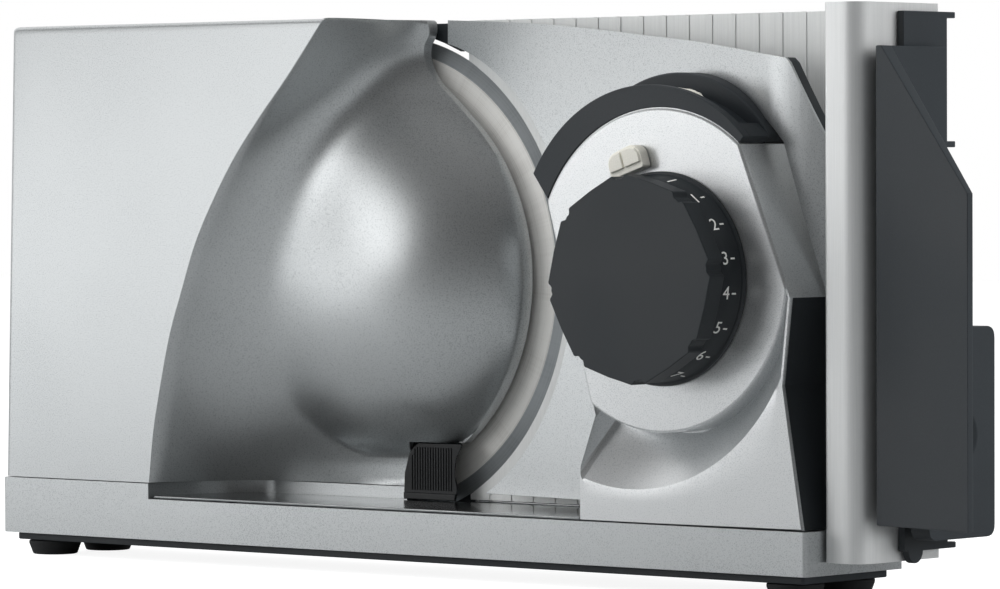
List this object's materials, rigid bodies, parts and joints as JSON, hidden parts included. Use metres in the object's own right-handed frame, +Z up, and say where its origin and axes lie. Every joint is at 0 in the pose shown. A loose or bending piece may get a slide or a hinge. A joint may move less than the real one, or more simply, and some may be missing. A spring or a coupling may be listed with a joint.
{
  "type": "electric food slicer",
  "caption": "Upright electric food slicer with round blade, moulded motor housing, thickness dial, sliding stop plate, carriage and parked remnant holder.",
  "frame": {"origin": "middle of the bounding box's footprint, on the table the feet stand on", "axes": "+X along the machine from the motor end to the column end, +Y from the slice side to the food side, +Z up"},
  "size_m": [0.4338, 0.093, 0.1927],
  "materials": {
    "silver_paint": "fine metallic silver paint, satin",
    "anodised_aluminium": "satin anodised",
    "steel": "ground and polished",
    "black_plastic": "fine matt grain, anthracite",
    "gloss_black_plastic": "gloss",
    "cream_plastic": "satin",
    "rubber": "matt",
    "brass": "machined",
    "white_nylon": "moulded"
  },
  "bodies": {
    "frame": {"base_casting": "silver_paint", "motor_housing": "silver_paint", "back_cover": "silver_paint", "dial_housing": "silver_paint", "slice_tray": "steel", "motor_can": "steel", "guide_rod_lower": "steel", "guide_rod_upper": "steel", "carriage_rail": "steel", "base_underpan": "black_plastic", "gear_bulkhead": "black_plastic", "switch_cap": "black_plastic", "rail_bracket_left": "black_plastic", "rail_bracket_right": "black_plastic", "blade_guard": "gloss_black_plastic", "thickness_pointer": "cream_plastic", "foot_front_left": "rubber", "foot_front_right": "rubber", "foot_back_left": "rubber", "foot_back_right": "rubber", "cord_inlet": "rubber", "blade_bush": "brass"},
    "blade_unit": {"blade": "steel", "blade_cap": "anodised_aluminium", "blade_shaft": "steel", "worm_wheel": "white_nylon"},
    "motor_rotor": {"motor_shaft": "steel", "motor_fan": "black_plastic"},
    "stop_unit": {"stop_plate": "anodised_aluminium", "stop_plate_cover": "silver_paint", "stop_carrier": "black_plastic", "spindle_nut": "brass", "stop_end_cover": "black_plastic"},
    "dial": {"thickness_knob": "black_plastic", "knob_spindle": "steel"},
    "switch": {"switch_slider": "cream_plastic"},
    "carriage": {"carriage_sled": "black_plastic", "table_hinge_pin": "steel", "carriage_end_wall": "black_plastic"},
    "food_table": {"carriage_table": "anodised_aluminium"},
    "holder": {"remnant_holder": "black_plastic", "holder_grip": "black_plastic"}
  },
  "joints": [
    {"name": "blade_spin", "type": "hinge", "parent": "frame", "child": "blade_unit", "pos_m": [-0.07395, 0.022, 0.1016], "axis": [0, 1, 0], "continuous": true},
    {"name": "motor_spin", "type": "hinge", "parent": "frame", "child": "motor_rotor", "pos_m": [-0.20795, -0.001, 0.1245], "axis": [1, 0, 0], "continuous": true},
    {"name": "stop_slide", "type": "slide", "parent": "frame", "child": "stop_unit", "axis": [0, -1, 0], "range_m": [0, 0.014]},
    {"name": "dial_turn", "type": "hinge", "parent": "frame", "child": "dial", "pos_m": [0.09335, -0.0285, 0.1033], "axis": [0, -1, 0], "range_deg": [0, 330]},
    {"name": "switch_slide", "type": "hinge", "parent": "frame", "child": "switch", "pos_m": [0.09155, -0.0285, 0.106], "axis": [0, 1, 0], "range_deg": [0, 14]},
    {"name": "carriage_slide", "type": "slide", "parent": "frame", "child": "carriage", "axis": [-1, 0, 0], "range_m": [0, 0.184]},
    {"name": "table_fold", "type": "hinge", "parent": "carriage", "child": "food_table", "pos_m": [-0.01195, 0.0288, 0.028], "axis": [-1, 0, 0], "range_deg": [0, 90]},
    {"name": "holder_lift", "type": "slide", "parent": "stop_unit", "child": "holder", "axis": [0, 0, 1], "range_m": [0, 0.012]}
  ],
  "couplings": [
    {"joint": "motor_spin", "follows": "blade_spin", "ratio": 40},
    {"joint": "dial_turn", "follows": "stop_slide", "rad_per_m": 411.39}
  ]
}
